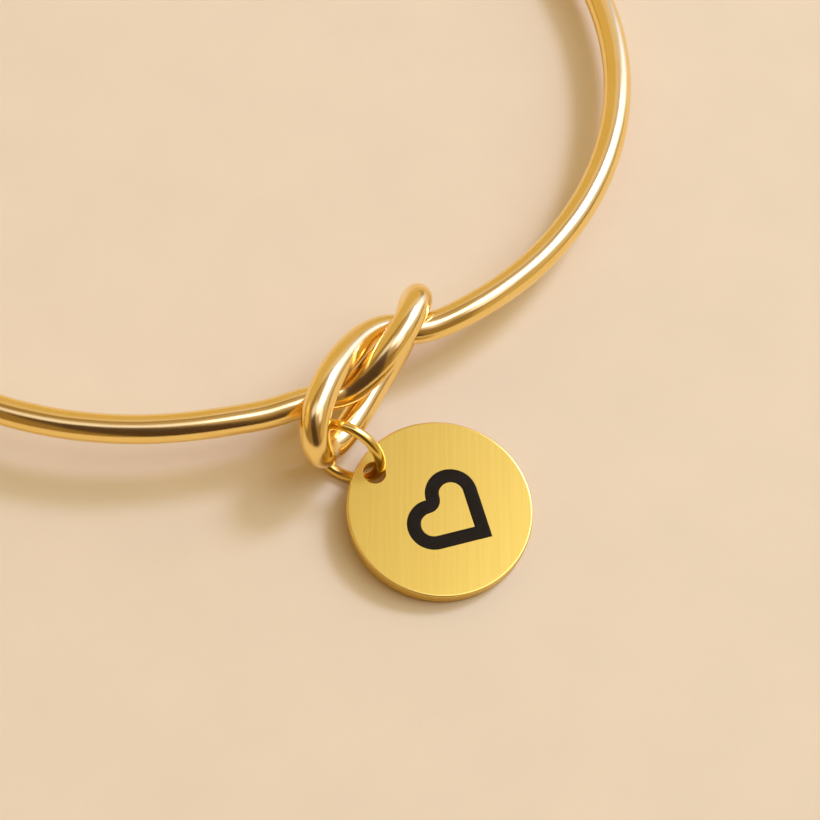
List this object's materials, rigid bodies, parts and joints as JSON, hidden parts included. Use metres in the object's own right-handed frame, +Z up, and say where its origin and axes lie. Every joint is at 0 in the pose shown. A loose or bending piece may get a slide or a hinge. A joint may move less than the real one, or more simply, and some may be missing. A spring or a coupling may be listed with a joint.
{
  "type": "knotted wire bangle with a round charm",
  "caption": "Oval gold wire bangle tied in an overhand knot, with a flat round charm hanging on a jump ring.",
  "frame": {"origin": "middle of the bounding box's base, on the table on which the bangle lies", "axes": "+Z up from the table, the shortest extent; +Y from the knot and charm to the loop's plain back, the longest extent; +X to the right seen from the charm's side"},
  "size_m": [0.0758, 0.0841, 0.0095],
  "materials": {
    "polished_gold": "polished gold plating on round wire",
    "ring_gold": "polished gold plating, deeper yellow",
    "satin_gold": "satin gold plating with fine straight brushing",
    "black_enamel": "black enamel, slightly glossy"
  },
  "bodies": {
    "root": {"bangle_wire": "polished_gold", "jump_ring": "ring_gold", "disc_charm": "satin_gold", "heart_inlay": "black_enamel"}
  },
  "joints": []
}
